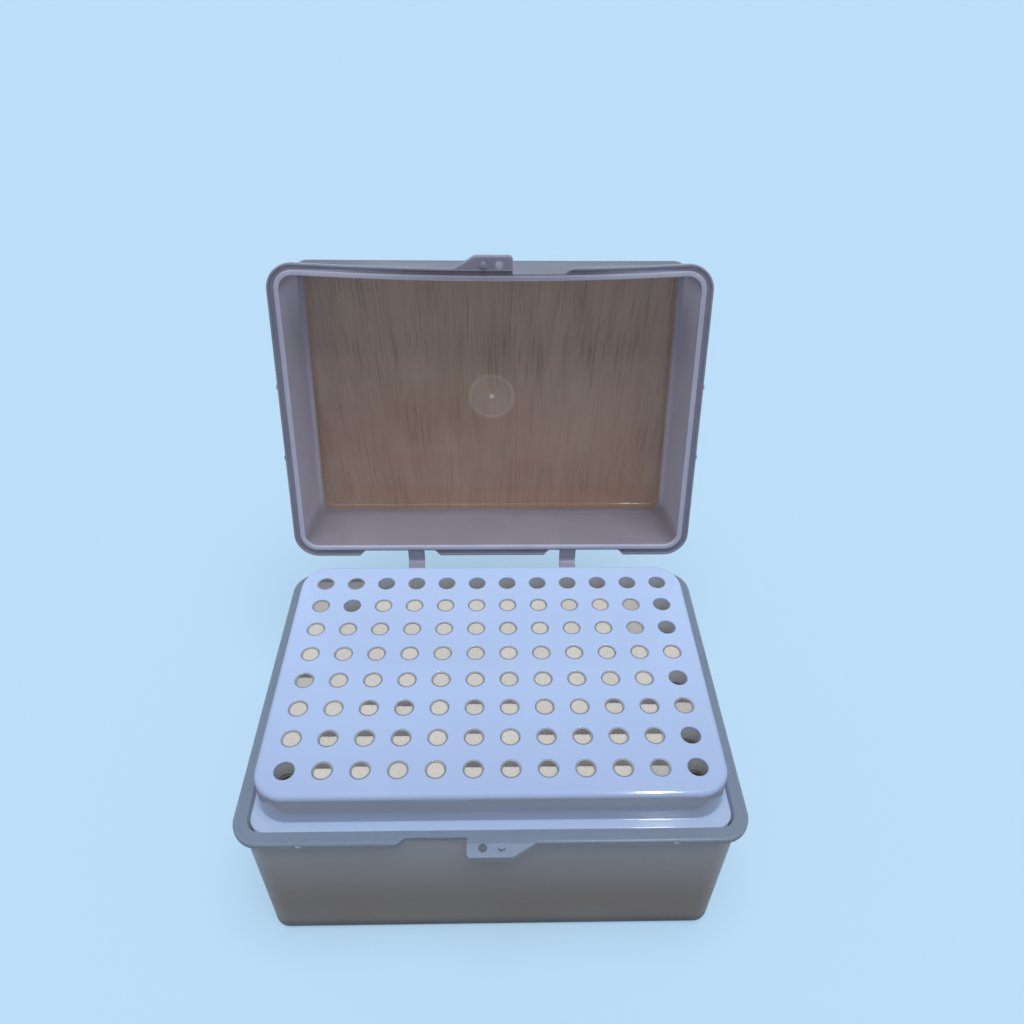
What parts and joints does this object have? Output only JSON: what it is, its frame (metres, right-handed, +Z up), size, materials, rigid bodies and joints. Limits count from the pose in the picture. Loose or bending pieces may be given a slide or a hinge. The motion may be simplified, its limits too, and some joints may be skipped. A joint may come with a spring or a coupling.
{
  "type": "pipette tip box",
  "caption": "Hinged plastic box for pipette tips: an open flip lid with a finger tab over a tub, and a drop-in rack of sockets holding filter tips.",
  "frame": {"origin": "the centre of the tub's flat underside, at the surface it stands on", "axes": "+Z up, +X to the right along the box's long side as seen from the latch side, +Y towards the hinge side"},
  "size_m": [0.1242, 0.1389, 0.1453],
  "materials": {
    "frosted_tub": "milky, satin",
    "clear_lid": "milky walls with a clear window, glossy",
    "white_rack": "smooth, glossy",
    "clear_tip": "translucent, glossy",
    "filter": "porous, matte"
  },
  "bodies": {
    "base": {"base_box": "frosted_tub", "rack_plate": "white_rack", "hinge_leaf_base_left": "frosted_tub", "hinge_leaf_base_right": "frosted_tub", "tip_column_1": "clear_tip", "tip_column_2": "clear_tip", "tip_column_3": "clear_tip", "tip_column_4": "clear_tip", "tip_column_5": "clear_tip", "tip_column_6": "clear_tip", "tip_column_7": "clear_tip", "tip_column_8": "clear_tip", "tip_column_9": "clear_tip", "tip_column_10": "clear_tip", "tip_column_11": "clear_tip", "tip_column_12": "clear_tip", "filter_column_1": "filter", "filter_column_2": "filter", "filter_column_3": "filter", "filter_column_4": "filter", "filter_column_5": "filter", "filter_column_6": "filter", "filter_column_7": "filter", "filter_column_8": "filter", "filter_column_9": "filter", "filter_column_10": "filter", "filter_column_11": "filter", "filter_column_12": "filter"},
    "lid": {"lid": "clear_lid", "hinge_leaf_lid_left": "clear_lid", "hinge_leaf_lid_right": "clear_lid"}
  },
  "joints": [
    {"name": "lid_hinge", "type": "hinge", "parent": "base", "child": "lid", "pos_m": [0, 0.0484, 0.0504], "axis": [-1, 0, 0], "range_deg": [-103.4, 90]}
  ]
}
